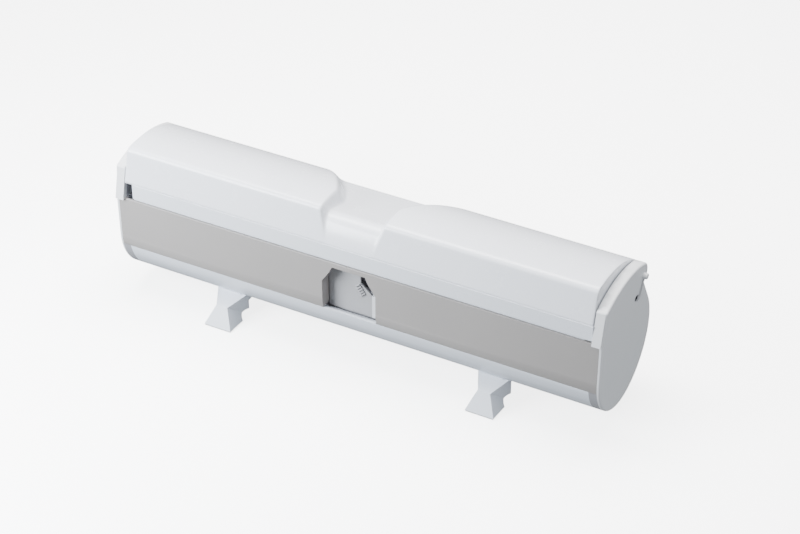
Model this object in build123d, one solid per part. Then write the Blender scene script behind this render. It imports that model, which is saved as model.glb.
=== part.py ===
"""Catering cling film dispenser: a round trough on two feet, with a hinged lid that carries the cutter.

Millimetres. +X runs along the roll to the right, -Y is the front, +Z is up. The origin is on the worktop, under
the middle of the trough. Profiles are drawn as (y, z) and extruded along X.
"""

import os
from math import atan2, cos, degrees, hypot, radians, sin, sqrt

from build123d import *

# ---- overall sizes ----
inner_length = 479.0  # between the end walls; takes a 450 mm wide roll on its plugs
trough_r = 57.0  # outer radius of the round trough
axis_z = 69.5  # height of the trough's centre above the worktop
panel_top_z = 113.0  # top edge of the front panel
hinge_in = 27.8  # hinge axis, in from the trough's rear
hinge_up = 64.9  # and up from the trough's centre

# ---- walls ----
shell_t = 2.4  # trough wall
panel_t = 2.5  # front panel
lid_t = 2.2
web_t = 3.0  # end wall's web
plate_t = 2.5  # end cap's outer plate at its bottom
rim_t = 2.5  # end cap's rim over the top

# ---- end stations, measured along X from the trough's end ----
end_wall_w = 8.0
plate_draft = 1.0  # the outer plate is this much thicker at the top than at the bottom
plate_round = 1.8
rim_gap = 1.5  # rim's inner edge, past the trough's end
lid_gap = 1.0  # between the lid's end and the rim

# ---- trough and panel ----
panel_bottom_z = 58.0
rear_leave_deg = 30.0  # where the rear wall leaves the circle
swing_gap = 0.5  # between moving and fixed pieces
rail_top_z = 119.0
rail_end = 7.5  # the rail stops this far short of the trough's end
groove_w = 4.5  # blade groove
groove_floor_z = 108.0
rail_depth = 16.0  # front to back
rail_t = 2.0
rest_w = 6.0  # soft film rest
rest_t = 2.0

# ---- lid ----
lip_bottom_z = 115.6
lip_top_z = 131.0
lid_lean_deg = 15.0
lid_crown_r = 116.8
lid_crest_in = 61.0  # the crown's middle, in front of the hinge
lid_corner_r = 6.0
knuckle_r = 11.5  # rounded rear edge, about the hinge axis
knuckle_end_deg = -60.0
lid_side_bottom_z = 122.0
hinge_boss_r = 6.5
hinge_boss_w = 18.0

# ---- palm press in the middle of the lid ----
press_path = ((0.4, 130.5), (5.2, 146.0), (15.4, 157.4), (99.0, 133.2))  # back from the trough's front, and height
press_front_half = (21.5, 36.1)  # half widths at the low and high levels, at the front station and ahead of it
press_rear_half = (19.2, 217.9)  # the same at the rear station
press_levels = (124.0, 176.0)
press_stations = (34.0, 117.0)

# ---- end caps ----
cap_lean_deg = 6.8
cap_crown_r = 112.8
cap_crest_in = 38.9
cap_corner_r = 3.0
least_corner_r = 0.5
tab_w = 10.0
tab_bottom_z = 112.5
tab_top_z = 144.0
tab_proud = 3.0
tab_lean = 7.4
tab_depth = 5.0
groove_at_tab = 1.4
j_slot_w = 6.6
tongue_t = 1.2  # the plate is this thin round the slot
tongue_relief = 2.0

# ---- cutter ----
carrier_left = 231.5  # from the middle to each end
carrier_right = 240.6
carrier_t = 2.0
blade_t = 0.6
blade_tip_z = 114.5
blade_top_z = 128.0
blade_half = 226.0
tooth_pitch = 4.0
tooth_h = 2.2
blade_back = 6.6  # blade's front face, behind the panel's face
blade_screw_pitch = 110.0
blade_screw_z = 124.4
carrier_screw_in = 4.1
boss_r = 2.6
boss_h = 11.0
carrier_screw_grip = 5.0
small_screw_r = 1.2
small_head_r = 2.0
small_head_h = 1.3
skirt_in = 13.0

# ---- hinge pins and fasteners ----
pin_r = 3.0
pin_proud = 4.6
running_gap = 0.06
screw_r = 1.5
screw_head_r = 3.0
screw_head_h = 1.8
screw_boss_r = 3.4

# ---- window, finger recess and latch ----
window_points = ((27.6, 89.5), (20.5, 100.0), (17.0, 107.5))  # shoulder, waist and top of the bell, from the middle
window_rounds = (2.0, 4.0)
ledge_t = 2.2
ledge_drop = 3.0
ledge_gap = 3.0
recess_depth = 12.5
flange_t = 2.0
slider_t = 1.8
slider_left = 27.2
slider_right = 17.6
slider_top_z = 105.2
slider_bottom_z = 54.3
slider_corner = ((17.6, 79.0), (6.0, 90.0))  # its top right corner is cut away between these points
slider_trim_w = 3.4
latch_travel = 8.0
housing_t = 2.0
grip_ribs = 5
grip_rib_pitch = 2.6
grip_rib = (6.5, 1.1, 1.6)  # length, width and height
grip_centre = (6.0, 82.5)
grip_turn = 43.0  # ribs rise to the right at this angle
grip_row = (0.49, -0.87)  # direction in which they follow each other
housing_low_z = 44.0
side_pocket_t = 1.2  # deep pocket beside the slider's cut-away corner
side_pocket_depth = 6.0
bar_z = 99.0
bar_h = 5.0
bar_t = 1.6

# ---- roll plugs ----
roll_y = 7.0  # the roll sits behind the trough's centre, clear of the finger recess
roll_drop = 1.5  # and this much below it
journal_r = 8.0
journal_w = 7.4
bearing_t = 2.6
snap_neck = 0.86  # opening of the snap bearing, as a share of the journal's radius
plug_flange_r = 26.0
plug_flange_t = 1.6
core_r = 18.4  # fits a 38 mm core
core_plug_w = 22.0
plug_ribs = 6

# ---- feet ----
foot_x = 139.0
foot_over = 9.5  # the toes stand this far out past the trough
foot_toe_half = 14.5
foot_waist_half = 6.0
foot_block_half = 16.9
foot_web_half = 10.0
waist_in = 0.5  # the waist line, in from the trough's front, and its height
waist_z = 20.5
brow_in = 22.5
brow_z = 27.0
foot_contact = 21.0
arch_h = 9.6
arch_r = 8.5
pad_t = 1.4
pad_inset = 0.6

# ---- derived values ----
half = inner_length / 2
wall_end = half + end_wall_w
rim_in = half + rim_gap
lid_half = rim_in - lid_gap
plate_low = wall_end + plate_t
plate_high = plate_low + plate_draft
front_y = -trough_r
hinge_y = trough_r - hinge_in
hinge_z = axis_z + hinge_up
lid_crest_y = hinge_y - lid_crest_in
cap_crest_y = hinge_y - cap_crest_in
tab_foot_y = front_y - tab_proud
tab_head_y = tab_foot_y + tab_lean
carrier_screw_y = front_y + carrier_screw_in
skirt_front_y = front_y + skirt_in
clamp_y = front_y + blade_back + blade_t
roll_z = axis_z - roll_drop
window_half = window_points[0][0]
foot_reach = trough_r + foot_over
foot_waist = (trough_r - waist_in, waist_z)
foot_brow = (trough_r - brow_in, brow_z)
axis = (0.0, axis_z)
hinge = (hinge_y, hinge_z)
far = 400.0


def polar(centre, r, deg):
    """Point at an angle from +Y, turning towards +Z."""
    return (centre[0] + r * cos(radians(deg)), centre[1] + r * sin(radians(deg)))


def prism(sketch, x0, x1):
    """Extrudes a (y, z) sketch from x0 to x1."""
    return extrude(Plane.YZ.offset(x0) * sketch, x1 - x0)


def block(y0, y1, z0, z1):
    """Rectangle in (y, z) between two corners."""
    return Pos((y0 + y1) / 2, (z0 + z1) / 2) * Rectangle(abs(y1 - y0), abs(z1 - z0))


def box(x0, x1, y0, y1, z0, z1):
    """Solid box between two corners."""
    return Pos((x0 + x1) / 2, (y0 + y1) / 2, (z0 + z1) / 2) * Box(abs(x1 - x0), abs(y1 - y0), abs(z1 - z0))


def shape(*edges):
    """Face bounded by edges given in order."""
    return make_face(list(edges))


def polygon(*points):
    """Face with straight sides through (y, z) points."""
    return make_face(Polyline(*points, close=True))


def disc(centre, r):
    return Pos(*centre) * Circle(r)


def rod(x0, x1, centre, r):
    """Cylinder along X."""
    return prism(disc(centre, r), x0, x1)


def mirrored(solid):
    return mirror(solid, about=Plane.YZ)


def trough_region(inset, rise=0.0):
    """Closed outline of the trough, inset from its outer face: flat front, round bottom, straight rear wall.
    rise lifts its open top."""
    r = trough_r - inset
    leave = polar(axis, r, rear_leave_deg)
    rear_len = hinge_z - leave[1] + rise
    top = polar(leave, rear_len, rear_leave_deg + 90)
    front_low = (-r, axis_z)
    front_high = (-r, panel_top_z + rise)
    return shape(
        Line(front_high, front_low),
        ThreePointArc(front_low, polar(axis, r, -75), leave),
        Line(leave, top),
        Line(top, front_high),
    )


def hood_region(foot, lean_deg, crown_r, crest_y, nose_r, corner_r, inset, nose_end=knuckle_end_deg):
    """Closed outline of a hood over the hinge: a leaning front from foot, a crowned top, and a round nose about
    the hinge axis. The crown is an arc that runs into the nose without a corner."""
    lean = radians(lean_deg)
    up = (sin(lean), cos(lean))
    start = (foot[0] + inset * cos(lean), foot[1] - inset * sin(lean))
    gap = crown_r - nose_r
    centre = (crest_y, hinge_z - sqrt(gap**2 - (hinge_y - crest_y) ** 2))
    r = crown_r - inset
    rel = (start[0] - centre[0], start[1] - centre[1])
    along = rel[0] * up[0] + rel[1] * up[1]
    reach = -along + sqrt(along**2 - (rel[0] ** 2 + rel[1] ** 2 - r**2))
    corner = (start[0] + reach * up[0], start[1] + reach * up[1])
    nose = nose_r - inset
    turn = degrees(atan2(hinge_z - centre[1], hinge_y - centre[0]))
    tangent = polar(hinge, nose, turn)
    corner_deg = degrees(atan2(corner[1] - centre[1], corner[0] - centre[0]))
    nose_low = polar(hinge, nose, nose_end)
    face = shape(
        Line(start, corner),
        ThreePointArc(corner, polar(centre, r, (corner_deg + turn) / 2), tangent),
        ThreePointArc(tangent, polar(hinge, nose, (turn + nose_end) / 2), nose_low),
        Line(nose_low, start),
    )
    sharp = face.vertices().sort_by_distance((corner[0], corner[1], 0))[0]
    return fillet(sharp, max(corner_r - inset, least_corner_r))


def lid_region(inset):
    return hood_region(
        (front_y + 0.4, lip_top_z), lid_lean_deg, lid_crown_r, lid_crest_y, knuckle_r, lid_corner_r, inset
    )


def cap_head_region(inset):
    return hood_region(
        (front_y + 0.6, panel_top_z), cap_lean_deg, cap_crown_r, cap_crest_y, knuckle_r, cap_corner_r, inset, -100.0
    )


def below(z):
    return block(-far, far, z - far, z)


def above(z):
    return block(-far, far, z, z + far)


# ---- fixed body ----
def rear_wall(t):
    """Section of the straight rear wall, cut back to clear the lid's rounded rear edge."""
    wall = trough_region(0) - trough_region(t, rise=60.0)
    wall = wall & above(panel_bottom_z) & block(0, far, 0, far)
    return wall - disc(hinge, knuckle_r + swing_gap) - above(hinge_z - 8.0)


def shell_section():
    """Exposed wall of the trough and the rear wall above it."""
    exposed = trough_region(0) - trough_region(shell_t, rise=60.0)
    front_cut = block(-far, -30.0, panel_bottom_z, far)
    return exposed - front_cut - above(panel_top_z) + rear_wall(shell_t)


def backing_section():
    """Wall behind the front panel and the step that joins it to the exposed wall."""
    behind = trough_region(panel_t) - trough_region(panel_t + shell_t, rise=60.0)
    behind = behind & block(-far, -30.0, panel_bottom_z - 5.0, groove_floor_z)
    step = trough_region(0.4) - trough_region(panel_t + shell_t, rise=60.0)
    step = step & block(-far, -30.0, panel_bottom_z - shell_t, panel_bottom_z)
    return behind + step


def ledge_section():
    """White ledge below the window: it slopes down inwards and stops short of the slider."""
    back = front_y + recess_depth - ledge_gap
    z = panel_bottom_z
    ledge = polygon(
        (front_y, z),
        (front_y + panel_t + 1, z),
        (back, z - ledge_drop),
        (back, z - ledge_drop - ledge_t),
        (front_y + panel_t, z - ledge_t),
        (front_y, z - ledge_t),
    )
    return ledge & trough_region(0.4)


def rail_section():
    """Film rail: front wall, blade groove, shelf for the film rest and a rounded drop behind."""
    y0 = front_y + panel_t
    y1 = y0 + rail_t + groove_w
    y2 = y0 + rail_depth
    shelf_z = rail_top_z - rest_t
    return (
        block(y0, y0 + rail_t, groove_floor_z - rail_t, rail_top_z)
        + block(y0, y1 + rail_t, groove_floor_z - rail_t, groove_floor_z)
        + block(y1, y1 + rail_t, groove_floor_z - rail_t, shelf_z)
        + block(y1, y2, shelf_z - rail_t, shelf_z)
        + block(y2 - rail_t, y2, shelf_z - 8.0, shelf_z)
    )


def window_profile(grow=0.0, bottom=panel_bottom_z):
    """Bell-shaped window seen from the front, as (x, z)."""
    right = [(x + grow, z) for x, z in window_points[:-1]]
    top_x, top_z = window_points[-1]
    right += [(top_x + grow, top_z + grow)]
    left = [(-x, z) for x, z in reversed(right)]
    side = right[0][0]
    face = polygon((side, bottom), *right, *left, (-side, bottom))
    for point, r in zip(window_points, window_rounds):
        near = [v for v in face.vertices() if abs(abs(v.X) - point[0] - grow) < 0.1 and abs(v.Y - point[1]) < 0.1]
        face = fillet(near, r)
    return face


def from_front(sketch, y0, y1):
    """Extrudes an (x, z) sketch from y0 back to y1."""
    return extrude(Plane.XZ.offset(-y0) * sketch, -(y1 - y0))


def lower_shell():
    body = prism(shell_section(), -half, half)
    rail = prism(rail_section(), -half + rail_end, half - rail_end)
    housing_half = window_half + flange_t + housing_t
    body += prism(backing_section(), -half, -housing_half) + prism(backing_section(), housing_half, half)
    body += rail + prism(ledge_section(), -housing_half, housing_half)
    for x, y in foot_screw_places():
        body -= Pos(x, y, 0) * Cylinder(screw_r, 60)
    return body


def front_panel():
    skin = trough_region(0) - trough_region(panel_t, rise=60.0)
    skin = skin & block(-far, -30.0, panel_bottom_z, panel_top_z)
    panel = prism(skin, -wall_end, wall_end)
    low = panel_bottom_z - 5.0
    panel -= from_front(window_profile(bottom=low), front_y - 1, front_y + 10)
    flange = from_front(window_profile(flange_t, low) - window_profile(0, low), front_y + 1.0, front_y + recess_depth)
    keep = trough_region(0.0, rise=20) & block(-far, far, panel_bottom_z, groove_floor_z - rail_t)
    panel += flange & prism(keep, -far, far)
    edges = panel.edges().filter_by(Axis.X).filter_by(lambda e: e.length > 300)
    front_edges = [e for e in edges if abs(e.center().Y - front_y) < 1.5]
    return fillet(front_edges, 0.8)


def latch_housing():
    """Grey pocket behind the window: side walls, back and floor. The rail closes its top."""
    w = window_half + flange_t + housing_t
    back = front_y + recess_depth + slider_t + swing_gap
    top = groove_floor_z - rail_t
    inside = trough_region(panel_t, rise=20) & above(panel_bottom_z)
    inside = inside + (trough_region(shell_t, rise=20) & below(panel_bottom_z)) - ledge_section()
    outer = box(-w, w, front_y, back + housing_t, housing_low_z, top)
    hollow = box(-w + housing_t, w - housing_t, front_y - 5, back, housing_low_z + housing_t, top + 1)
    housing = (outer - hollow) & prism(inside, -far, far)
    slot_end = slider_right + latch_travel
    slot = box(-slider_left, slot_end, back - 1, back + housing_t + 1, bar_z - 0.6, bar_z + bar_h + 0.6)
    x0, x1 = slider_corner[1][0] - 3, slot_end
    z0, z1 = slider_corner[0][1] + 2, bar_z - 3
    t = side_pocket_t
    deep = back + side_pocket_depth
    pocket = box(x0 - t, x1 + t, back + 1, deep + t, z0 - t, z1 + t) - box(x0, x1, back, deep, z0, z1)
    return housing - slot - box(x0, x1, back - 1, back + housing_t + 1, z0, z1) + pocket


def end_wall():
    """Right end wall: a full-width band below, a narrower head under the rim, and the roll's snap bearing."""
    panel_seat = (trough_region(0) - trough_region(panel_t, rise=60)) & block(-far, -30, panel_bottom_z, far)
    low = (trough_region(0) & below(panel_top_z)) - panel_seat
    head = cap_head_region(rim_t) + trough_region(0) - panel_seat
    wall = prism(low + rear_wall(shell_t), half, wall_end) + prism(head, rim_in, wall_end)
    pocket = (trough_region(panel_t + shell_t) + cap_head_region(rim_t + shell_t)) - disc(hinge, hinge_boss_r)
    for place in end_screw_places():
        pocket -= disc(place, screw_boss_r)
    wall -= prism(pocket, half + web_t, wall_end)
    wall -= prism(tab_face(), half, wall_end)
    boss_x = half - journal_w - 0.4
    roll = (roll_y, roll_z)
    wall += rod(boss_x, half + 1, roll, journal_r + running_gap + bearing_t)
    wall -= rod(boss_x - 1, half, roll, journal_r + running_gap)
    neck = journal_r * snap_neck
    wall -= box(boss_x - 1, half, roll_y - neck, roll_y + neck, roll_z, roll_z + 30)
    wall -= rod(half - 1, wall_end + 1, hinge, pin_r)
    for place in end_screw_places():
        wall -= rod(half - 1, wall_end + 1, place, screw_r)
    return wall


def end_screw_places():
    return [(-30.0, 62.0), (30.0, 84.0), (-12.0, 106.0)]


def tab_face():
    """Side view of the tab at the cap's front top corner: it stands proud of the panel and leans back."""
    return polygon(
        (tab_foot_y, tab_bottom_z),
        (tab_head_y, tab_top_z),
        (tab_head_y + tab_depth, tab_top_z),
        (front_y + 3.5, tab_bottom_z + 4),
        (front_y, tab_bottom_z + 0.5),
        (front_y, tab_bottom_z),
    )


def end_cap():
    """Right end cap: drafted outer plate, rim over the top, front tab and the J-shaped slot."""
    side = trough_region(0) + cap_head_region(0)
    plate = prism(side, wall_end, plate_high + 1)
    tilt = degrees(atan2(plate_draft, hinge_z - axis_z + trough_r))
    keep = Pos(plate_low, 0, axis_z - trough_r) * Rot(0, tilt, 0) * Pos(-far / 2, 0, 0) * Box(far, far, far)
    plate = plate & keep
    plate = fillet(plate.faces().sort_by(Axis.X)[-1].edges(), plate_round)
    rim = cap_head_region(0) - cap_head_region(rim_t) - trough_region(0)
    cap = plate + prism(rim, rim_in, wall_end)
    cap += prism(tab_face(), rim_in, wall_end)
    cap += prism(tab_face() - side, wall_end, rim_in + tab_w - groove_at_tab)
    cap -= j_slot(0.0, wall_end - 1, plate_high + 5)
    cap -= j_slot(tongue_relief, wall_end - 1, plate_low - tongue_t)
    cap -= rod(wall_end - 10, plate_high + 2, hinge, pin_r)
    return cap


def j_slot(grow, x0, x1):
    """Cutter for the J-shaped slot that frees the springy tongue below the pin."""
    w = j_slot_w / 2 + grow
    top = (hinge_y + 0.3 - 0.4 * grow, hinge_z - pin_r - j_slot_w / 2 - 1.2 - 1.2 * grow)
    knee = (hinge_y - 6.2, hinge_z - 20.5)
    toe = (hinge_y - 13.0, hinge_z - 17.5)
    cut = None
    for a, b in ((top, knee), (knee, toe)):
        ang = degrees(atan2(b[1] - a[1], b[0] - a[0]))
        length = hypot(b[0] - a[0], b[1] - a[1])
        mid = ((a[0] + b[0]) / 2, (a[1] + b[1]) / 2)
        leg = Pos(*mid) * Rot(0, 0, ang) * SlotCenterToCenter(length, 2 * w)
        cut = leg if cut is None else cut + leg
    return prism(cut, x0, x1)


def hinge_pin():
    """Right hinge pin, pressed into the end wall and cap; the lid turns on its inner end."""
    pin = rod(lid_half - hinge_boss_w + 2, plate_high + pin_proud, hinge, pin_r)
    tip = pin.edges().group_by(Axis.X)[-1]
    return fillet(tip, 1.2)


def core_plug():
    """Right roll plug: journal, flange and a ribbed plug for the core."""
    c = (roll_y, roll_z)
    plug = rod(half - journal_w, half - 0.3, c, journal_r)
    x1 = half - journal_w - 0.8
    plug += rod(x1, half - journal_w, c, journal_r)
    plug += rod(x1 - plug_flange_t, x1, c, plug_flange_r)
    x2 = x1 - plug_flange_t
    plug += rod(x2 - core_plug_w, x2, c, core_r - 2.4)
    plug -= rod(x2 - core_plug_w - 1, x2 - 2.0, c, core_r - 4.6)
    for i in range(plug_ribs):
        rib = Pos(*c) * Rot(0, 0, i * 360 / plug_ribs) * Pos(core_r - 1.6, 0) * Rectangle(3.2, 1.8)
        plug += prism(rib, x2 - core_plug_w + 1.5, x2)
    return plug


def end_screws():
    """Screws from inside each end wall into the cap."""
    screws = []
    for y, z in end_screw_places():
        head = rod(half - screw_head_h, half, (y, z), screw_head_r)
        screws.append(head + rod(half, wall_end, (y, z), screw_r))
    return Compound(children=screws)


def foot_screw_places():
    return [(side * foot_x, y) for side in (-1, 1) for y in (-12.0, 12.0)]


def foot():
    """Right foot: arched strap with a flared toe block at the front and at the rear."""
    strap = block(-foot_brow[0] - 4, foot_brow[0] + 4, pad_t, foot_brow[1])
    toe = toe_block()
    body = prism(strap, -foot_web_half, foot_web_half) + toe + mirror(toe, about=Plane.XZ)
    arch_half = foot_reach - foot_contact
    arch = fillet(block(-arch_half, arch_half, -20.0, arch_h).vertices().group_by(Axis.Y)[-1], arch_r)
    body = body - prism(arch, -far, far) - prism(trough_region(0), -far, far)
    body = Pos(foot_x, 0, 0) * body
    for x, y in foot_screw_places():
        if x > 0:
            body -= Pos(x, y, 0) * Cylinder(screw_r, 60)
    return body


def toe_block():
    """Front toe: wide at the floor, waisted, and wide again where it meets the trough."""
    low = pad_t
    toe = [(-foot_toe_half, -foot_reach, low), (foot_toe_half, -foot_reach, low)]
    waist = [(-foot_waist_half, -foot_waist[0], foot_waist[1]), (foot_waist_half, -foot_waist[0], foot_waist[1])]
    brow = [(-foot_block_half, -foot_brow[0], foot_brow[1]), (foot_block_half, -foot_brow[0], foot_brow[1])]
    heel = [(-foot_block_half, -foot_brow[0], low), (foot_block_half, -foot_brow[0], low)]
    lower = [Face(Wire.make_polygon((toe[k], waist[k], heel[k]), close=True)) for k in (0, 1)]
    upper = [Face(Wire.make_polygon((waist[k], brow[k], heel[k]), close=True)) for k in (0, 1)]
    return loft(lower, ruled=True) + loft(upper, ruled=True)


def foot_pads():
    """Two soles under the right foot."""
    y0, y1 = foot_reach - foot_contact + pad_inset, foot_reach - pad_inset
    pads = []
    for s in (-1, 1):
        w = foot_toe_half - pad_inset
        pads.append(box(foot_x - w, foot_x + w, s * y0, s * y1, 0, pad_t))
    return Compound(children=pads)


def foot_screws():
    screws = []
    for x, y in foot_screw_places():
        z0 = arch_h
        z1 = axis_z - sqrt((trough_r - shell_t) ** 2 - y**2)
        screws.append(Pos(x, y, 0) * (
            Pos(0, 0, (z0 + z1) / 2) * Cylinder(screw_r, z1 - z0)
            + Pos(0, 0, z0 - screw_head_h / 2) * Cylinder(screw_head_r, screw_head_h)
        ))
    return Compound(children=screws)


def film_rest():
    y1 = front_y + panel_t + rail_t + groove_w + 1.2
    strip = block(y1, y1 + rest_w, rail_top_z - rest_t, rail_top_z + 0.4)
    rest = prism(strip, -half + rail_end, half - rail_end)
    top = rest.edges().filter_by(Axis.X).group_by(Axis.Z)[-1]
    return fillet(top, 1.0)


# ---- lid ----
def press_tool(inset):
    """Solid above the palm press: its floor and front slope, bounded by ruled side walls."""
    path = [(front_y + y, z) for y, z in press_path]
    slopes = [atan2(b[1] - a[1], b[0] - a[0]) for a, b in zip(path, path[1:])]
    inner = [sunk(path[0], slopes[0], inset)]
    for point, before, after in zip(path[1:], slopes, slopes[1:]):
        inner.append(sunk(point, (before + after) / 2, inset / cos((before - after) / 2)))
    inner.append(sunk(path[-1], slopes[-1], inset))
    out = (inner[0][0] - 30 * cos(slopes[0]), inner[0][1] - 30 * sin(slopes[0]))
    rear_y = inner[-1][0] + 60
    profile = polygon(out, *inner[1:], (rear_y, inner[-1][1]), (rear_y, 230), (out[0] - 20, 230), (out[0] - 20, out[1]))
    wedge = prism(profile, -far, far)
    y0, y1 = (front_y + y for y in press_stations)
    ahead = press_slab(y0 - 30, press_front_half, y0, press_front_half, inset)
    behind = press_slab(y0, press_front_half, y1, press_rear_half, inset)
    return wedge & (ahead + behind)


def sunk(point, slope, depth):
    """Point moved into the lid, square to a slope in radians."""
    return (point[0] + sin(slope) * depth, point[1] - cos(slope) * depth)


def press_slab(y0, halves0, y1, halves1, inset):
    """Block between the press's side walls, from y0 to y1."""
    rings = []
    for k, z in enumerate(press_levels):
        w0 = halves0[k] + inset
        w1 = halves1[k] + inset
        rings.append(Pos(0, 0, z) * make_face(Polyline((-w0, y0), (w0, y0), (w1, y1), (-w1, y1), close=True)))
    return loft(rings, ruled=True)


def lid_shell():
    """One-piece lid: leaning front, crowned top with the palm press, round rear edge with a hinge boss at each end."""
    start_y = front_y + 0.4
    outer = prism(lid_region(0), -lid_half, lid_half) - press_tool(0)
    nose_y = polar(hinge, knuckle_r - lid_t, knuckle_end_deg)[0]
    under = block(start_y + lid_t, nose_y, 60.0, lip_top_z + 1)
    hollow = prism(lid_region(lid_t) + under, -lid_half + lid_t, lid_half - lid_t) - press_tool(lid_t)
    lid = outer - hollow
    skirt = block(skirt_front_y, hinge_y, lid_side_bottom_z, lip_top_z + 4) + (lid_region(0.6) & above(lip_top_z))
    for s in (-1, 1):
        x0, x1 = sorted((s * lid_half, s * (lid_half - lid_t)))
        lid += prism(skirt, x0, x1)
        b0, b1 = sorted((s * lid_half, s * (lid_half - hinge_boss_w)))
        lid += rod(b0, b1, hinge, hinge_boss_r)
        lid += prism(block(hinge_y - 2, hinge_y + 2, hinge_z, hinge_z + knuckle_r - 1), b0, b1)
        lid -= rod(b0 - 1, b1 + 1, hinge, pin_r + running_gap)
    lid -= box(-far, far, front_y - 1, clamp_y + carrier_t, 100.0, lip_top_z)
    for x in carrier_screw_places():
        boss = Pos(x, carrier_screw_y, lip_top_z + boss_h / 2) * Cylinder(boss_r, boss_h)
        lid += boss & prism(lid_region(lid_t / 2), x - boss_r, x + boss_r)
        lid -= Pos(x, carrier_screw_y, lip_top_z) * Cylinder(small_screw_r, 2 * carrier_screw_grip + 1)
    return lid


def carrier_screw_places():
    return [s * x for s in (-1, 1) for x in (80.0, 205.0)]


def carrier_screws():
    """Screws up through the carrier's flange into the lid."""
    screws = []
    for x in carrier_screw_places():
        z1 = lip_top_z + carrier_screw_grip
        shaft = Pos(x, carrier_screw_y, (blade_top_z + z1) / 2) * Cylinder(small_screw_r, z1 - blade_top_z)
        head_z = blade_top_z - small_head_h / 2
        screws.append(shaft + Pos(x, carrier_screw_y, head_z) * Cylinder(small_head_r, small_head_h))
    return Compound(children=screws)


def blade_screw_places():
    return [(i - 1.5) * blade_screw_pitch for i in range(4)]


def blade_screws():
    """Screws from behind, through the clamp flange and the blade."""
    screws = []
    for x in blade_screw_places():
        y0 = front_y + blade_back - 0.8
        y1 = clamp_y + carrier_t
        shaft = from_front(Pos(x, blade_screw_z) * Circle(small_screw_r), y0, y1)
        screws.append(shaft + from_front(Pos(x, blade_screw_z) * Circle(small_head_r), y1, y1 + small_head_h))
    return Compound(children=screws)


def cutter_carrier():
    """Lip strip, with a shorter flange behind it that the blade is screwed to."""
    strip = prism(block(front_y, front_y + carrier_t, lip_bottom_z, lip_top_z), -carrier_left, carrier_right)
    flange = block(front_y, clamp_y + carrier_t, blade_top_z, lip_top_z)
    flange += block(clamp_y, clamp_y + carrier_t, rail_top_z + 1.4, lip_top_z)
    carrier = strip + prism(flange, -blade_half - 3, blade_half + 3)
    for x in carrier_screw_places():
        carrier -= Pos(x, carrier_screw_y, lip_top_z) * Cylinder(small_screw_r, 10)
    for x in blade_screw_places():
        carrier -= from_front(Pos(x, blade_screw_z) * Circle(small_screw_r), clamp_y - 1, clamp_y + 10)
    return carrier


def cutter_blade():
    y = front_y + blade_back
    base = blade_tip_z + tooth_h
    points = [(-blade_half, blade_top_z), (-blade_half, base)]
    count = int(2 * blade_half / tooth_pitch)
    for i in range(count):
        x = -blade_half + i * tooth_pitch
        points += [(x + tooth_pitch / 2, blade_tip_z), (x + tooth_pitch, base)]
    points += [(blade_half, blade_top_z)]
    outline = polygon(*points)
    for x in blade_screw_places():
        outline -= Pos(x, blade_screw_z) * Circle(small_screw_r)
    return from_front(outline, y, y + blade_t)


# ---- latch ----
def latch_slider():
    """Grey plate with a cut-away top right corner and a row of slanted grip ribs."""
    y = front_y + recess_depth
    low, high = slider_corner
    outline = polygon(
        (-slider_left, slider_bottom_z),
        (slider_right, slider_bottom_z),
        low,
        high,
        (high[0], slider_top_z),
        (-slider_left, slider_top_z),
    )
    plate = from_front(outline, y, y + slider_t)
    length, width, height = grip_rib
    for i in range(grip_ribs):
        step = (i - (grip_ribs - 1) / 2) * grip_rib_pitch
        x, z = grip_centre[0] + step * grip_row[0], grip_centre[1] + step * grip_row[1]
        plate += Pos(x, y, z) * Rot(0, -grip_turn, 0) * Box(length, 2 * height, width)
    return plate


def slider_trim():
    """White strip bonded to the slider's right edge."""
    y = front_y + recess_depth
    return box(slider_right, slider_right + slider_trim_w, y, y + slider_t, slider_bottom_z, slider_corner[0][1])


def latch_bar():
    """Bar behind the rail, joined to the slider through the housing's slot, with an upturned tip at each end."""
    back = front_y + recess_depth + slider_t
    y = front_y + panel_t + rail_depth + swing_gap
    span = half - journal_w - plug_flange_t - 2 * latch_travel
    bar = box(-span, span, y, y + bar_t, bar_z, bar_z + bar_h)
    bar += box(-slider_left + 4, slider_corner[1][0] - 1, back, y, bar_z, bar_z + bar_h)
    for s in (-1, 1):
        bar += box(s * span, s * (span - 3), y, y + bar_t, bar_z, rail_top_z)
    return bar


nodes = {
    "lower_shell": lower_shell,
    "front_panel": front_panel,
    "latch_housing": latch_housing,
    "right_end_wall": end_wall,
    "left_end_wall": lambda: mirrored(end_wall()),
    "right_end_cap": end_cap,
    "left_end_cap": lambda: mirrored(end_cap()),
    "right_hinge_pin": hinge_pin,
    "left_hinge_pin": lambda: mirrored(hinge_pin()),
    "right_core_plug": core_plug,
    "left_core_plug": lambda: mirrored(core_plug()),
    "right_end_screws": end_screws,
    "left_end_screws": lambda: mirrored(end_screws()),
    "right_foot": foot,
    "left_foot": lambda: mirrored(foot()),
    "right_foot_pads": foot_pads,
    "left_foot_pads": lambda: mirrored(foot_pads()),
    "foot_screws": foot_screws,
    "film_rest": film_rest,
    "lid_shell": lid_shell,
    "cutter_carrier": cutter_carrier,
    "cutter_blade": cutter_blade,
    "blade_screws": blade_screws,
    "carrier_screws": carrier_screws,
    "latch_slider": latch_slider,
    "slider_trim": slider_trim,
    "latch_bar": latch_bar,
}

if __name__ == "__main__":
    os.makedirs("parts", exist_ok=True)
    for name, make in nodes.items():
        export_step(make(), f"parts/{name}.step")
        print(name)
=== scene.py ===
"""Looks for the cling film dispenser: materials, a smooth lid moulding, softened edges, studio and camera."""

from math import atan2, cos, pi, radians, sin, sqrt

import bmesh
import bpy
from mathutils import Matrix, Vector


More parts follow.
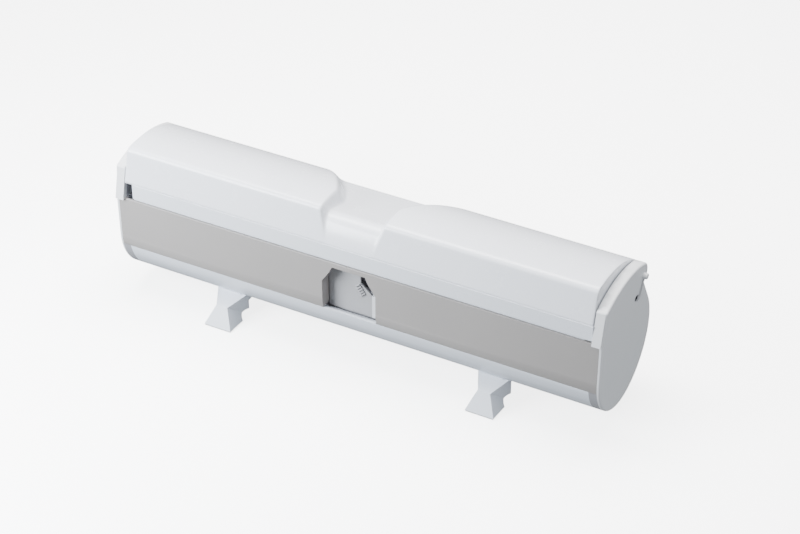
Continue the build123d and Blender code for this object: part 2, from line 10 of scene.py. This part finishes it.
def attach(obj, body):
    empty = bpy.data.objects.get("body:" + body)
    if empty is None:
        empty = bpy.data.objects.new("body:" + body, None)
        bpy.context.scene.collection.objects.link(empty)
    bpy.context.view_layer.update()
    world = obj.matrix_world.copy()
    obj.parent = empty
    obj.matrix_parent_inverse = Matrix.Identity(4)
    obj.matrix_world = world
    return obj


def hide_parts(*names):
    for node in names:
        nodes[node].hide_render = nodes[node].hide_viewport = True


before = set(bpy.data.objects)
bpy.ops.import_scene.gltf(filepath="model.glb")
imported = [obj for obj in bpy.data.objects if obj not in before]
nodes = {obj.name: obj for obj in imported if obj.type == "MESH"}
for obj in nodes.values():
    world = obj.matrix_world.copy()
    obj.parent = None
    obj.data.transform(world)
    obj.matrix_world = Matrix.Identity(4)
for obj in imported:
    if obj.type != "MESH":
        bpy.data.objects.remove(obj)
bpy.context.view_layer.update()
MM = 0.001


# ---- materials ----
def links(material, *pairs):
    for a, b in pairs:
        material.node_tree.links.new(a, b)


def plastic(name, dark, light, rough=(0.3, 0.42), grain=900.0, grain_depth=0.02, coat=0.0):
    """Moulded plastic: slow colour drift, uneven polish, fine grain and a faint ripple from the mould."""
    m = bpy.data.materials.new(name)
    m.use_nodes = True
    t = m.node_tree.nodes
    shader = t["Principled BSDF"]
    shader.inputs["IOR"].default_value = 1.48
    shader.inputs["Coat Weight"].default_value = coat
    shader.inputs["Coat Roughness"].default_value = 0.12
    place = t.new("ShaderNodeTexCoord")

    drift = t.new("ShaderNodeTexNoise")
    drift.inputs["Scale"].default_value = 14.0
    drift.inputs["Detail"].default_value = 4.0
    tint = t.new("ShaderNodeMix")
    tint.data_type = "RGBA"
    tint.inputs[6].default_value = (*dark, 1)
    tint.inputs[7].default_value = (*light, 1)

    smudge = t.new("ShaderNodeTexNoise")
    smudge.inputs["Scale"].default_value = 45.0
    smudge.inputs["Detail"].default_value = 6.0
    smudge.inputs["Roughness"].default_value = 0.65
    polish = t.new("ShaderNodeMapRange")
    polish.inputs["From Min"].default_value = 0.3
    polish.inputs["From Max"].default_value = 0.7
    polish.inputs["To Min"].default_value = rough[0]
    polish.inputs["To Max"].default_value = rough[1]

    fine = t.new("ShaderNodeTexNoise")
    fine.inputs["Scale"].default_value = grain
    fine.inputs["Detail"].default_value = 3.0
    wave = t.new("ShaderNodeTexNoise")
    wave.inputs["Scale"].default_value = 60.0
    wave.inputs["Detail"].default_value = 1.0
    low = t.new("ShaderNodeBump")
    low.inputs["Strength"].default_value = 0.15
    low.inputs["Distance"].default_value = 0.4 * MM
    high = t.new("ShaderNodeBump")
    high.inputs["Strength"].default_value = 0.5
    high.inputs["Distance"].default_value = grain_depth * MM
    for texture in (drift, smudge, fine, wave):
        links(m, (place.outputs["Object"], texture.inputs["Vector"]))
    links(
        m,
        (drift.outputs["Fac"], tint.inputs[0]),
        (tint.outputs[2], shader.inputs["Base Color"]),
        (smudge.outputs["Fac"], polish.inputs["Value"]),
        (polish.outputs["Result"], shader.inputs["Roughness"]),
        (wave.outputs["Fac"], low.inputs["Height"]),
        (fine.outputs["Fac"], high.inputs["Height"]),
        (low.outputs["Normal"], high.inputs["Normal"]),
        (high.outputs["Normal"], shader.inputs["Normal"]),
    )
    return m


def steel(name, colour, rough, along):
    """Drawn or ground steel, with its grain along one axis."""
    m = bpy.data.materials.new(name)
    m.use_nodes = True
    t = m.node_tree.nodes
    shader = t["Principled BSDF"]
    shader.inputs["Metallic"].default_value = 1.0
    place = t.new("ShaderNodeTexCoord")
    stretch = t.new("ShaderNodeMapping")
    stretch.inputs["Scale"].default_value = along
    grain = t.new("ShaderNodeTexNoise")
    grain.inputs["Scale"].default_value = 40.0
    grain.inputs["Detail"].default_value = 5.0
    tint = t.new("ShaderNodeMix")
    tint.data_type = "RGBA"
    tint.inputs[6].default_value = (*[c * 0.82 for c in colour], 1)
    tint.inputs[7].default_value = (*colour, 1)
    polish = t.new("ShaderNodeMapRange")
    polish.inputs["To Min"].default_value = rough - 0.08
    polish.inputs["To Max"].default_value = rough + 0.1
    bump = t.new("ShaderNodeBump")
    bump.inputs["Strength"].default_value = 0.3
    bump.inputs["Distance"].default_value = 0.02 * MM
    links(
        m,
        (place.outputs["Object"], stretch.inputs["Vector"]),
        (stretch.outputs["Vector"], grain.inputs["Vector"]),
        (grain.outputs["Fac"], tint.inputs[0]),
        (tint.outputs[2], shader.inputs["Base Color"]),
        (grain.outputs["Fac"], polish.inputs["Value"]),
        (polish.outputs["Result"], shader.inputs["Roughness"]),
        (grain.outputs["Fac"], bump.inputs["Height"]),
        (bump.outputs["Normal"], shader.inputs["Normal"]),
    )
    return m


white_shell = plastic("white_shell", (0.69, 0.725, 0.79), (0.74, 0.775, 0.83))
lid_white = plastic("lid_white", (0.73, 0.75, 0.80), (0.78, 0.80, 0.845), rough=(0.2, 0.3), coat=0.25)
carrier_white = plastic("carrier_white", (0.71, 0.74, 0.79), (0.76, 0.785, 0.83), rough=(0.26, 0.36))
cap_white = plastic("cap_white", (0.68, 0.69, 0.71), (0.73, 0.74, 0.75), rough=(0.38, 0.5), grain_depth=0.05)
inner_white = plastic("inner_white", (0.66, 0.67, 0.69), (0.71, 0.72, 0.73), rough=(0.4, 0.52))
inner_grey = plastic("inner_grey", (0.30, 0.30, 0.32), (0.34, 0.34, 0.36), rough=(0.4, 0.52), grain_depth=0.06)
panel_grey = plastic(
    "panel_grey",
    (0.30, 0.282, 0.272),
    (0.335, 0.316, 0.304),
    rough=(0.42, 0.55),
    grain=1500.0,
    grain_depth=0.08,
)
slider_grey = plastic(
    "slider_grey",
    (0.36, 0.358, 0.368),
    (0.40, 0.396, 0.404),
    rough=(0.4, 0.52),
    grain=1500.0,
    grain_depth=0.06,
)
pad_rubber = plastic("pad_rubber", (0.2, 0.2, 0.2), (0.26, 0.26, 0.26), rough=(0.75, 0.9), grain_depth=0.15)
rest_foam = plastic("rest_foam", (0.05, 0.05, 0.05), (0.08, 0.08, 0.08), rough=(0.8, 0.95), grain_depth=0.2)
screw_steel = steel("screw_steel", (0.62, 0.62, 0.63), 0.32, (1, 1, 1))
blade_steel = steel("blade_steel", (0.7, 0.7, 0.71), 0.24, (0.2, 1, 8))

finish_of = {
    "lower_shell": white_shell,
    "front_panel": panel_grey,
    "latch_housing": inner_grey,
    "right_end_wall": inner_grey,
    "left_end_wall": inner_grey,
    "right_end_cap": cap_white,
    "left_end_cap": cap_white,
    "right_hinge_pin": cap_white,
    "left_hinge_pin": cap_white,
    "right_core_plug": inner_white,
    "left_core_plug": inner_white,
    "right_end_screws": screw_steel,
    "left_end_screws": screw_steel,
    "right_foot": white_shell,
    "left_foot": white_shell,
    "right_foot_pads": pad_rubber,
    "left_foot_pads": pad_rubber,
    "foot_screws": screw_steel,
    "film_rest": rest_foam,
    "lid_shell": lid_white,
    "cutter_carrier": carrier_white,
    "cutter_blade": blade_steel,
    "blade_screws": screw_steel,
    "carrier_screws": screw_steel,
    "latch_slider": slider_grey,
    "slider_trim": inner_white,
    "latch_bar": inner_grey,
}
for name, finish in finish_of.items():
    data = nodes[name].data
    data.materials.clear()
    data.materials.append(finish)


# ---- softened edges on the rigid pieces ----
def soften(node, width):
    """Rounds a CAD node's edges with modifiers only, by a width in millimetres; its mesh stays as packed."""
    o = nodes[node]
    weld = o.modifiers.new("weld", "WELD")
    weld.merge_threshold = 0.005 * MM
    flat = o.modifiers.new("flat", "DECIMATE")
    flat.decimate_type = "DISSOLVE"
    flat.angle_limit = radians(0.6)
    bevel = o.modifiers.new("bevel", "BEVEL")
    bevel.width = width * MM
    bevel.segments = 3
    bevel.limit_method = "ANGLE"
    bevel.angle_limit = radians(32.0)
    bevel.use_clamp_overlap = True
    bevel.harden_normals = True


edge_widths = {
    "right_end_cap": 0.9,
    "left_end_cap": 0.9,
    "right_foot": 1.0,
    "left_foot": 1.0,
    "cutter_carrier": 0.2,
    "latch_slider": 0.3,
    "latch_housing": 0.3,
    "right_core_plug": 0.3,
    "left_core_plug": 0.3,
    "latch_bar": 0.25,
    "lower_shell": 0.4,
    "front_panel": 0.4,
}
for name, width in edge_widths.items():
    soften(name, width)


# ---- lid moulding: millimetres, with sections drawn as (y, z) ----
HINGE = (29.2, 134.4)
PIN_HOLE = 3.1
BOSS = 6.5
BOSS_DEPTH = 18.0  # from the lid's end face to the hinge boss's inner end
CROWN = 116.8
CREST_Y = -31.8
KNUCKLE = 11.5
LID_HALF = 240.0
LID_WALL = 2.2
LIP_TOP = (-56.6, 131.0)
LEAN = radians(15.0)
CORNER = 6.0
SKIRT_Y = -44.0
SKIRT_Z = 122.0
SKIRT_BACK = 3.0
END_INSET = 0.8  # the end walls' edges lie this far inside the skin
PRESS_BEND = (-52.2, 145.5)
PRESS_CORNER = (-42.0, 157.2)
PRESS_REAR_DEG = -4.1
PRESS_NOSE_TURN = radians(22)
PRESS_ROUNDS = (14.0, 8.0, 5.0)  # at the bend, the corner and the rear
# the press's half widths at its floor and rim: at the lip, the corner's start and end, and the rear
PRESS_HALVES = ((22.3, 24.9), (26.5, 34.0), (27.0, 34.0), (48.0, 84.0))
FLARE_START = 0.27  # the share of the top that passes before the press widens
FLARE_POWER = 1.2
NOSE_END_DEG = -60.0
STEPS = (14, 8, 64, 10)  # the skin's rows in the section's four stretches
END_STEPS = (6, 6, 48, 10)  # the same for the end walls' outline


def on_line(a, b, n):
    """Points along a line in n even steps."""
    return [(a[0] + (b[0] - a[0]) * i / n, a[1] + (b[1] - a[1]) * i / n) for i in range(n + 1)]


def on_arc(centre, r, start, end, n):
    """Points on an arc; angles in radians from +Y towards +Z."""
    out = []
    for i in range(n + 1):
        out.append(polar(centre, r, start + (end - start) * i / n))
    return out


def respaced(points, n):
    """The same path with n even steps."""
    runs = [0.0]
    for a, b in zip(points, points[1:]):
        runs.append(runs[-1] + sqrt((b[0] - a[0]) ** 2 + (b[1] - a[1]) ** 2))
    out, k = [], 0
    for i in range(n + 1):
        want = runs[-1] * i / n
        while k < len(points) - 2 and runs[k + 1] < want:
            k += 1
        f = (want - runs[k]) / max(runs[k + 1] - runs[k], 1e-9)
        a, b = points[k], points[k + 1]
        out.append((a[0] + (b[0] - a[0]) * f, a[1] + (b[1] - a[1]) * f))
    return out


def crown_zones(steps):
    """The lid's section away from the press, in four stretches: front, front corner, top, rear nose."""
    centre = (CREST_Y, HINGE[1] - sqrt((CROWN - KNUCKLE) ** 2 - (HINGE[0] - CREST_Y) ** 2))
    up = (sin(LEAN), cos(LEAN))
    inward = (cos(LEAN), -sin(LEAN))
    base = (LIP_TOP[0] + CORNER * inward[0], LIP_TOP[1] + CORNER * inward[1])
    rel = (base[0] - centre[0], base[1] - centre[1])
    along = rel[0] * up[0] + rel[1] * up[1]
    reach = -along + sqrt(along**2 - rel[0] ** 2 - rel[1] ** 2 + (CROWN - CORNER) ** 2)
    pivot = (base[0] + reach * up[0], base[1] + reach * up[1])
    first = (pivot[0] - CORNER * inward[0], pivot[1] - CORNER * inward[1])
    a0 = atan2(first[1] - pivot[1], first[0] - pivot[0])
    a1 = atan2(pivot[1] - centre[1], pivot[0] - centre[0])
    turn = atan2(HINGE[1] - centre[1], HINGE[0] - centre[0])
    a0 = a0 + 2 * pi if a0 < a1 else a0
    rear = radians(PRESS_REAR_DEG)
    top = on_arc(centre, CROWN, a1, turn, 60) + on_arc(HINGE, KNUCKLE, turn, rear, 30)[1:]
    return [
        on_line(LIP_TOP, first, steps[0]),
        on_arc(pivot, CORNER, a0, a1, steps[1]),
        respaced(top, steps[2]),
        on_arc(HINGE, KNUCKLE, rear, radians(NOSE_END_DEG), steps[3]),
    ]


def press_zones(steps):
    """The lid's section in the middle of the press, in the same four stretches."""
    round_bend, round_front, round_rear = PRESS_ROUNDS
    rear = radians(PRESS_REAR_DEG)
    end = polar(HINGE, KNUCKLE, rear)
    turned = bent_corner(PRESS_BEND, PRESS_CORNER, end, round_front, steps[1])
    rise = bent_corner(LIP_TOP, PRESS_BEND, turned[0], round_bend, 20)
    low = polar(HINGE, KNUCKLE, rear - PRESS_NOSE_TURN)
    back = bent_corner(PRESS_CORNER, end, low, round_rear, 12)
    floor = on_line(turned[-1], back[0], 40) + back[1:7]
    nose = back[6:] + on_arc(HINGE, KNUCKLE, rear - PRESS_NOSE_TURN, radians(NOSE_END_DEG), 20)[1:]
    return [
        respaced([LIP_TOP, *rise, turned[0]], steps[0]),
        turned,
        respaced(floor, steps[2]),
        respaced(nose, steps[3]),
    ]


def polar(centre, r, a):
    """The point at radius r and angle a, in radians from +Y towards +Z."""
    return (centre[0] + r * cos(a), centre[1] + r * sin(a))


def bent_corner(a, b, c, r, n):
    """Corner b of the path a-b-c rounded with a quadratic curve that starts r before it."""
    def toward(p, q, d):
        run = sqrt((q[0] - p[0]) ** 2 + (q[1] - p[1]) ** 2)
        return (p[0] + (q[0] - p[0]) * d / run, p[1] + (q[1] - p[1]) * d / run)

    r2 = min(r, 0.95 * sqrt((c[0] - b[0]) ** 2 + (c[1] - b[1]) ** 2))
    p0, p2 = toward(b, a, r), toward(b, c, r2)
    out = []
    for i in range(n + 1):
        t = i / n
        k0, k1, k2 = (1 - t) ** 2, 2 * t * (1 - t), t * t
        out.append((k0 * p0[0] + k1 * b[0] + k2 * p2[0], k0 * p0[1] + k1 * b[1] + k2 * p2[1]))
    return out


def smooth(t):
    """A step from 0 to 1 that starts and ends level."""
    t = max(0.0, min(1.0, t))
    return t * t * t * (t * (6 * t - 15) + 10)


def press_halves(zone, f):
    """Half widths of the press at its floor and at its rim, along the section."""
    if zone == 3:
        return PRESS_HALVES[3]
    t = max(0.0, (f - FLARE_START) / (1 - FLARE_START)) ** FLARE_POWER if zone == 2 else f
    return tuple(a + (b - a) * t for a, b in zip(PRESS_HALVES[zone], PRESS_HALVES[zone + 1]))


def lid_columns():
    """(x, inset) of each column of the lid's outer skin: the ends are rounded over."""
    edge = [(LID_HALF, 0.8), (LID_HALF - 0.1, 0.42), (LID_HALF - 0.4, 0.1), (LID_HALF - 0.9, 0.0)]
    wide = [LID_HALF - 4.0, 225.0, 205.0, 180.0, 155.0, 130.0, 112.0]
    near = [100.0 - i for i in range(101)]
    half = edge + [(x, 0.0) for x in wide + near]
    return [(-x, i) for x, i in half] + [(x, i) for x, i in reversed(half[:-1])]


def lid_skin():
    """Outer skin as a grid of columns along X and rows along the section, given its wall by a modifier."""
    plain, pressed = crown_zones(STEPS), press_zones(STEPS)
    rows = []
    for zone, n in enumerate(STEPS):
        for i in range(n + 1):
            if zone and i == 0:
                continue
            rows.append((zone, i / n, plain[zone][i], pressed[zone][i]))
    normals = []
    for k in range(len(rows)):
        a, b = rows[max(k - 1, 0)][2], rows[min(k + 1, len(rows) - 1)][2]
        run = sqrt((b[0] - a[0]) ** 2 + (b[1] - a[1]) ** 2)
        normals.append((-(b[1] - a[1]) / run, (b[0] - a[0]) / run))
    bm = bmesh.new()
    grid = []
    for x, inset in lid_columns():
        column = []
        for (zone, f, p, q), normal in zip(rows, normals):
            inner, outer = press_halves(zone, f)
            w = smooth((outer - abs(x)) / (outer - inner))
            y = p[0] + (q[0] - p[0]) * w - normal[0] * inset
            z = p[1] + (q[1] - p[1]) * w - normal[1] * inset
            column.append(bm.verts.new((x * MM, y * MM, z * MM)))
        grid.append(column)
    for a, b in zip(grid, grid[1:]):
        for i in range(len(a) - 1):
            bm.faces.new((a[i], b[i], b[i + 1], a[i + 1]))
    bmesh.ops.recalc_face_normals(bm, faces=bm.faces)
    mesh = bpy.data.meshes.new("lid_moulding")
    bm.to_mesh(mesh)
    bm.free()
    if mesh.polygons[len(mesh.polygons) // 2].normal.z < 0:
        mesh.flip_normals()
    o = bpy.data.objects.new("lid_moulding", mesh)
    bpy.context.scene.collection.objects.link(o)
    wall = o.modifiers.new("wall", "SOLIDIFY")
    wall.thickness = LID_WALL * MM
    wall.offset = -1.0
    wall.use_rim = True
    for polygon in mesh.polygons:
        polygon.use_smooth = True
    return o


def plate(name, loops, x0, x1, bevel, finish, body):
    """Flat piece across X with holes: its first loop is the outline, the others are openings."""
    curve = bpy.data.curves.new(name, "CURVE")
    curve.dimensions = "2D"
    curve.fill_mode = "BOTH"
    curve.extrude = (abs(x1 - x0) / 2 - bevel) * MM
    curve.bevel_depth = bevel * MM
    curve.offset = -bevel * MM
    curve.bevel_resolution = 3
    for loop in loops:
        spline = curve.splines.new("POLY")
        spline.points.add(len(loop) - 1)
        for point, (y, z) in zip(spline.points, loop):
            point.co = (y * MM, z * MM, 0, 1)
        spline.use_cyclic_u = True
    flat = bpy.data.objects.new(name + "_outline", curve)
    bpy.context.scene.collection.objects.link(flat)
    bpy.context.view_layer.update()
    mesh = bpy.data.meshes.new_from_object(flat.evaluated_get(bpy.context.evaluated_depsgraph_get()))
    bpy.data.objects.remove(flat)
    turn = Matrix(((0, 0, 1, (x0 + x1) / 2 * MM), (1, 0, 0, 0), (0, 1, 0, 0), (0, 0, 0, 1)))
    mesh.transform(turn)
    mesh.name = name
    mesh.materials.clear()
    mesh.materials.append(finish)
    o = bpy.data.objects.new(name, mesh)
    bpy.context.scene.collection.objects.link(o)
    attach(o, body)
    return o


def ring(centre, r):
    """A circle as a closed loop of 48 points."""
    return [polar(centre, r, 2 * pi * i / 48) for i in range(48)]


def lid():
    """Smooth moulding in place of the CAD lid: skin, end walls and hinge bosses."""
    skin = lid_skin()
    skin.data.materials.append(lid_white)
    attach(skin, "lid")
    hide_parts("lid_shell")
    outline = [p for zone in crown_zones(END_STEPS) for p in zone]
    inner = []
    for k, p in enumerate(outline):
        a, b = outline[max(k - 1, 0)], outline[min(k + 1, len(outline) - 1)]
        run = sqrt((b[0] - a[0]) ** 2 + (b[1] - a[1]) ** 2) or 1.0
        inner.append((p[0] + (b[1] - a[1]) / run * END_INSET, p[1] - (b[0] - a[0]) / run * END_INSET))
    skirt = [(inner[-1][0] - SKIRT_BACK, SKIRT_Z), (SKIRT_Y, SKIRT_Z), (SKIRT_Y, LIP_TOP[1])]
    end_loops = [inner + skirt, ring(HINGE, PIN_HOLE)]
    boss_loops = [ring(HINGE, BOSS), ring(HINGE, PIN_HOLE)]
    for side, s in (("left", -1), ("right", 1)):
        wall = s * (LID_HALF - LID_WALL)
        end = plate(f"{side}_lid_end", end_loops, s * LID_HALF, wall, 0.1, lid_white, "lid")
        boss = plate(f"{side}_lid_boss", boss_loops, wall, s * (LID_HALF - BOSS_DEPTH), 0.2, lid_white, "lid")


lid()


# ---- studio ----
def area(name, place, look_at, size, power, colour):
    """Rectangular soft light that faces a point."""
    light = bpy.data.lights.new(name, "AREA")
    light.shape = "RECTANGLE"
    light.size, light.size_y = size
    light.energy = power
    light.color = colour
    o = bpy.data.objects.new(name, light)
    o.location = place
    o.rotation_mode = "QUATERNION"
    o.rotation_quaternion = (Vector(look_at) - Vector(place)).to_track_quat("-Z", "Y")
    bpy.context.scene.collection.objects.link(o)


def studio():
    """Pale floor, dim world and three soft lights; the floor is hidden from diffuse and glossy rays."""
    mesh = bpy.data.meshes.new("floor")
    bm = bmesh.new()
    side = 4.0
    corners = ((-side, -side), (side, -side), (side, side), (-side, side))
    bm.faces.new([bm.verts.new((x, y, 0)) for x, y in corners])
    bm.to_mesh(mesh)
    bm.free()
    floor = bpy.data.objects.new("floor", mesh)
    bpy.context.scene.collection.objects.link(floor)
    paper = bpy.data.materials.new("floor_paper")
    paper.use_nodes = True
    shader = paper.node_tree.nodes["Principled BSDF"]
    shader.inputs["Base Color"].default_value = (0.95, 0.95, 0.95, 1)
    shader.inputs["Roughness"].default_value = 0.95
    shader.inputs["Specular IOR Level"].default_value = 0.1
    shader.inputs["Emission Color"].default_value = (1, 1, 1, 1)
    shader.inputs["Emission Strength"].default_value = 4.0
    mesh.materials.append(paper)
    floor.visible_diffuse = False
    floor.visible_glossy = False

    world = bpy.data.worlds.new("studio")
    world.use_nodes = True
    world.node_tree.nodes["Background"].inputs["Color"].default_value = (0.90, 0.95, 1.0, 1)
    world.node_tree.nodes["Background"].inputs["Strength"].default_value = 0.5
    bpy.context.scene.world = world
    area("key", (-0.5, -0.6, 0.45), (-0.12, 0, 0.08), (0.5, 0.4), 20, (0.9, 0.95, 1.0))
    area("side", (1.1, -0.25, 0.7), (0.2, 0, 0.08), (0.6, 0.6), 5, (0.95, 0.97, 1.0))
    area("top", (-0.15, 0.15, 1.2), (0, 0, 0.1), (1.2, 0.6), 46, (1.0, 0.985, 0.975))


def camera():
    """Long lens from the front right, about 28 degrees round and 36 degrees up."""
    data = bpy.data.cameras.new("camera")
    data.lens = 98.9
    data.sensor_width = 36.0
    o = bpy.data.objects.new("camera", data)
    o.location = (0.7894, -1.4596, 1.2830)
    o.rotation_mode = "QUATERNION"
    o.rotation_quaternion = Vector((-0.3760, 0.7163, -0.5878)).to_track_quat("-Z", "Y")
    bpy.context.scene.collection.objects.link(o)
    bpy.context.scene.camera = o


studio()
camera()
